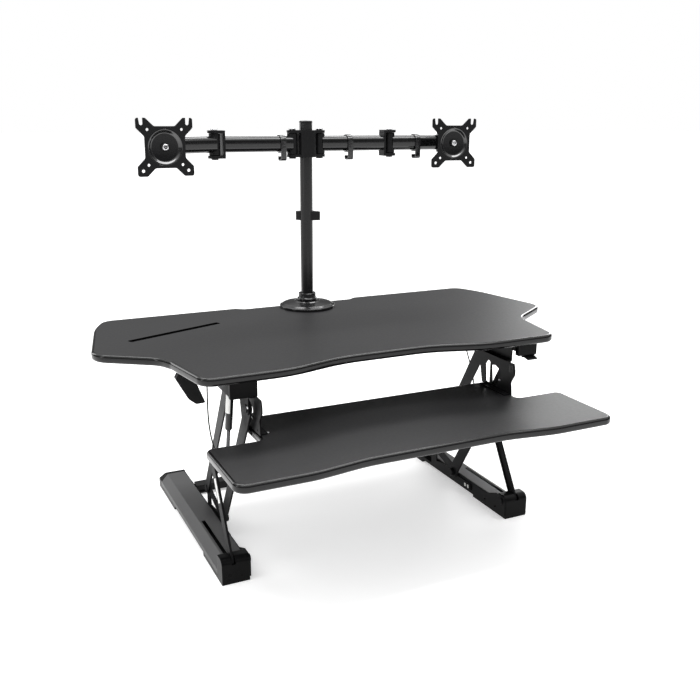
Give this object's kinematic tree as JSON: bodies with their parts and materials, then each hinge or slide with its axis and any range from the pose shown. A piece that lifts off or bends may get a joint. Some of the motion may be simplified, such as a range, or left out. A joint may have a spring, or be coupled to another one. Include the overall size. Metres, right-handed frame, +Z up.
{
  "type": "standing desk converter",
  "caption": "Sit-stand riser that lifts straight up on scissor legs, with a winged desktop, a keyboard tray and a clamped mast with jointed monitor arms.",
  "frame": {"origin": "centre of the footprint, on the surface that the feet stand on", "axes": "+X to the right, +Y to the back, +Z up; the user stands at -Y"},
  "size_m": [1.1604, 0.787, 0.942],
  "materials": {
    "black_steel": "satin black powder coat with a fine texture",
    "laminate": "matte charcoal laminate over board, with glossy black rounded edges",
    "black_plastic": "fine moulded grain, black",
    "gloss_plastic": "smooth glossy black",
    "cable_sheath": "smooth black sheath",
    "nylon": "natural white nylon",
    "spring_body": "glossy black paint",
    "spring_rod": "dark polished rod"
  },
  "bodies": {
    "base": {"side_rail_left": "black_steel", "side_rail_right": "black_steel", "foot_cover_left": "black_steel", "foot_cover_right": "black_steel", "front_cap_left": "black_plastic", "front_cap_right": "black_plastic", "rear_cap_left": "black_plastic", "rear_cap_right": "black_plastic", "rear_crossbar": "black_steel"},
    "front_links": {"front_link_left": "black_steel", "front_link_right": "black_steel"},
    "main_arms": {"main_arm_left": "black_steel", "main_arm_right": "black_steel"},
    "rear_arms": {"rear_arm_left": "black_steel", "rear_arm_right": "black_steel"},
    "carriages": {"carriage_plate_left": "black_steel", "carriage_plate_right": "black_steel", "glide_shoe_left": "nylon", "glide_shoe_right": "nylon"},
    "gas_cylinder_body": {"gas_cylinder": "spring_body"},
    "gas_rod_body": {"gas_rod": "spring_rod"},
    "desk": {"desktop": "laminate", "keyboard_tray": "laminate", "lift_bracket_left": "black_steel", "lift_bracket_right": "black_steel", "front_cover": "black_plastic", "paddle_bracket": "black_steel", "tab_housing": "black_plastic", "tray_hanger_left": "black_steel", "tray_hanger_right": "black_steel", "clamp_frame": "black_steel", "clamp_screw": "black_steel", "base_cover": "gloss_plastic", "mast": "black_steel", "mast_collar": "gloss_plastic", "mast_cable_clip": "black_plastic", "mast_cap": "black_plastic", "release_cable_left": "cable_sheath", "release_cable_right": "cable_sheath"},
    "paddle": {"release_paddle": "black_plastic"},
    "tab": {"locking_tab": "black_plastic"},
    "mount_clamp_body": {"mount_clamp": "black_steel"},
    "inner_arm_left_body": {"inner_arm_left": "black_steel", "inner_arm_clip_left": "black_plastic"},
    "outer_arm_left_body": {"outer_arm_left": "black_steel"},
    "yoke_left_body": {"swivel_yoke_left": "black_steel"},
    "hub_left_body": {"tilt_hub_left": "black_steel"},
    "plate_left_body": {"vesa_plate_left": "black_steel"},
    "inner_arm_right_body": {"inner_arm_right": "black_steel", "inner_arm_clip_right": "black_plastic"},
    "outer_arm_right_body": {"outer_arm_right": "black_steel", "outer_arm_clip_right": "black_plastic"},
    "yoke_right_body": {"swivel_yoke_right": "black_steel"},
    "hub_right_body": {"tilt_hub_right": "black_steel"},
    "plate_right_body": {"vesa_plate_right": "black_steel"}
  },
  "joints": [
    {"name": "lift", "type": "hinge", "parent": "base", "child": "front_links", "pos_m": [0, -0.14, 0.042], "axis": [1, 0, 0], "range_deg": [-54, 0]},
    {"name": "arm_fold", "type": "hinge", "parent": "front_links", "child": "main_arms", "pos_m": [0, -0.03953, 0.20947], "axis": [1, 0, 0], "range_deg": [-0.5, 108.5]},
    {"name": "desk_level", "type": "hinge", "parent": "main_arms", "child": "desk", "pos_m": [0, -0.14, 0.37695], "axis": [1, 0, 0], "range_deg": [-54.5, 0.5], "deforming": ["release_cable_left", "release_cable_right"]},
    {"name": "rear_arm_fold", "type": "hinge", "parent": "desk", "child": "rear_arms", "pos_m": [0, -0.036, 0.40995], "axis": [1, 0, 0], "range_deg": [-0.5, 54.5]},
    {"name": "carriage_level", "type": "hinge", "parent": "main_arms", "child": "carriages", "pos_m": [0, 0.06094, 0.042], "axis": [1, 0, 0], "range_deg": [-54.5, 0.5]},
    {"name": "gas_swing", "type": "hinge", "parent": "desk", "child": "gas_cylinder_body", "pos_m": [-0.337, -0.0972, 0.428], "axis": [1, 0, 0], "range_deg": [-1, 49.3]},
    {"name": "gas_stroke", "type": "slide", "parent": "gas_cylinder_body", "child": "gas_rod_body", "axis": [0, 0.214, -0.9768], "range_m": [-0.0586, 0.001]},
    {"name": "paddle_squeeze", "type": "hinge", "parent": "desk", "child": "paddle", "pos_m": [-0.425, -0.048, 0.4365], "axis": [0, -1, 0], "range_deg": [0, 18], "stiffness_Nm_per_rad": 0.4},
    {"name": "tab_lift", "type": "hinge", "parent": "desk", "child": "tab", "pos_m": [0.36, -0.164, 0.4145], "axis": [-1, 0, 0], "range_deg": [0, 12], "stiffness_Nm_per_rad": 0.05},
    {"name": "mount_height", "type": "slide", "parent": "desk", "child": "mount_clamp_body", "axis": [0, 0, 1], "range_m": [-0.11, 0.008]},
    {"name": "inner_arm_swing_left", "type": "hinge", "parent": "mount_clamp_body", "child": "inner_arm_left_body", "pos_m": [-0.0265, 0.322, 0.88], "axis": [0, 0, 1], "range_deg": [-15, 35]},
    {"name": "elbow_left", "type": "hinge", "parent": "inner_arm_left_body", "child": "outer_arm_left_body", "pos_m": [-0.226, 0.322, 0.88], "axis": [0, 0, 1], "range_deg": [-40, 60]},
    {"name": "head_swivel_left", "type": "hinge", "parent": "outer_arm_left_body", "child": "yoke_left_body", "pos_m": [-0.37635, 0.26728, 0.88], "axis": [0, 0, 1], "range_deg": [-30, 30]},
    {"name": "head_tilt_left", "type": "hinge", "parent": "yoke_left_body", "child": "hub_left_body", "pos_m": [-0.37635, 0.22328, 0.88], "axis": [1, 0, 0], "range_deg": [-15, 15]},
    {"name": "plate_turn_left", "type": "hinge", "parent": "hub_left_body", "child": "plate_left_body", "pos_m": [-0.37635, 0.19308, 0.88], "axis": [0, 1, 0], "range_deg": [-90, 90]},
    {"name": "inner_arm_swing_right", "type": "hinge", "parent": "mount_clamp_body", "child": "inner_arm_right_body", "pos_m": [0.0465, 0.322, 0.88], "axis": [0, 0, -1], "range_deg": [-15, 35]},
    {"name": "elbow_right", "type": "hinge", "parent": "inner_arm_right_body", "child": "outer_arm_right_body", "pos_m": [0.246, 0.322, 0.88], "axis": [0, 0, -1], "range_deg": [-20, 80]},
    {"name": "head_swivel_right", "type": "hinge", "parent": "outer_arm_right_body", "child": "yoke_right_body", "pos_m": [0.406, 0.322, 0.88], "axis": [0, 0, -1], "range_deg": [-37, 23]},
    {"name": "head_tilt_right", "type": "hinge", "parent": "yoke_right_body", "child": "hub_right_body", "pos_m": [0.40064, 0.27833, 0.88], "axis": [0.9925, -0.1219, 0], "range_deg": [-15, 15]},
    {"name": "plate_turn_right", "type": "hinge", "parent": "hub_right_body", "child": "plate_right_body", "pos_m": [0.39696, 0.24835, 0.88], "axis": [0.1219, 0.9925, 0], "range_deg": [-90, 90]}
  ],
  "couplings": [
    {"joint": "arm_fold", "follows": "lift", "ratio": -2},
    {"joint": "desk_level", "follows": "lift", "ratio": 1},
    {"joint": "rear_arm_fold", "follows": "lift", "ratio": -1},
    {"joint": "carriage_level", "follows": "lift", "ratio": 1},
    {"joint": "gas_swing", "follows": "lift", "ratio": -0.8861},
    {"joint": "gas_stroke", "follows": "lift", "m_per_rad": 0.06109}
  ]
}
